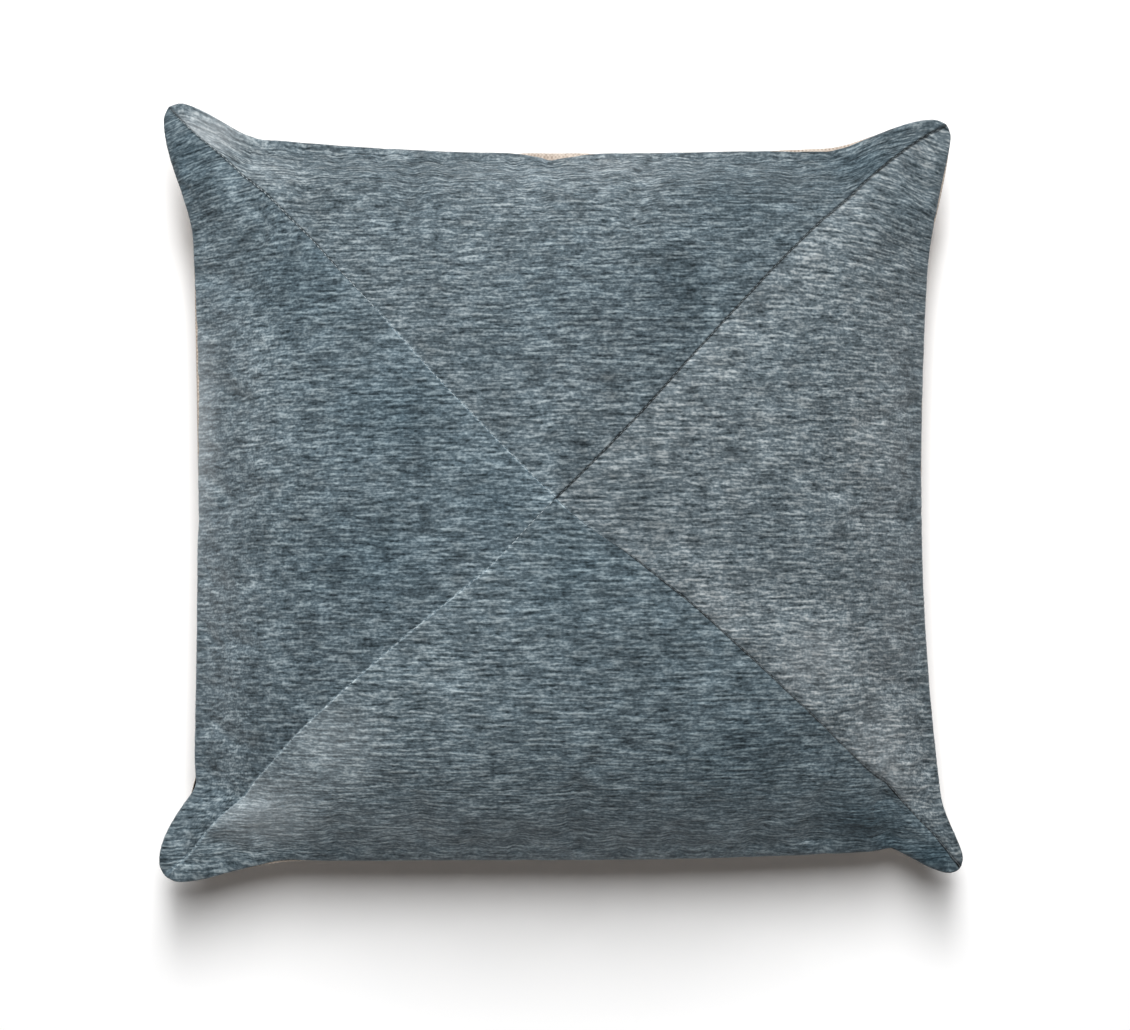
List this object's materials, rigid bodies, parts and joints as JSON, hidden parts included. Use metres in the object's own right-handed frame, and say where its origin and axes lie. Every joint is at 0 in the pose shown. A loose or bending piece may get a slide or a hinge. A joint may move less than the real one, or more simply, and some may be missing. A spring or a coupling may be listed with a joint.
{
  "type": "cushion",
  "caption": "Square filled throw cushion with a mitred front, a crowned face, drawn-in sides and soft pointed corners.",
  "frame": {"origin": "on the floor, under the middle of the cushion as it lies on its back", "axes": "+Z up, out of the mitred face; +Y towards the edge that is uppermost when the cushion stands up; +X to the right, seen from above with +Y up"},
  "size_m": [0.4456, 0.4306, 0.1462],
  "materials": {
    "cover_cloth": "slubbed blue-grey chenille, soft and matte",
    "back_cloth": "plain-woven taupe cloth, matte"
  },
  "bodies": {
    "root": {"cushion": "cover_cloth"}
  },
  "joints": []
}
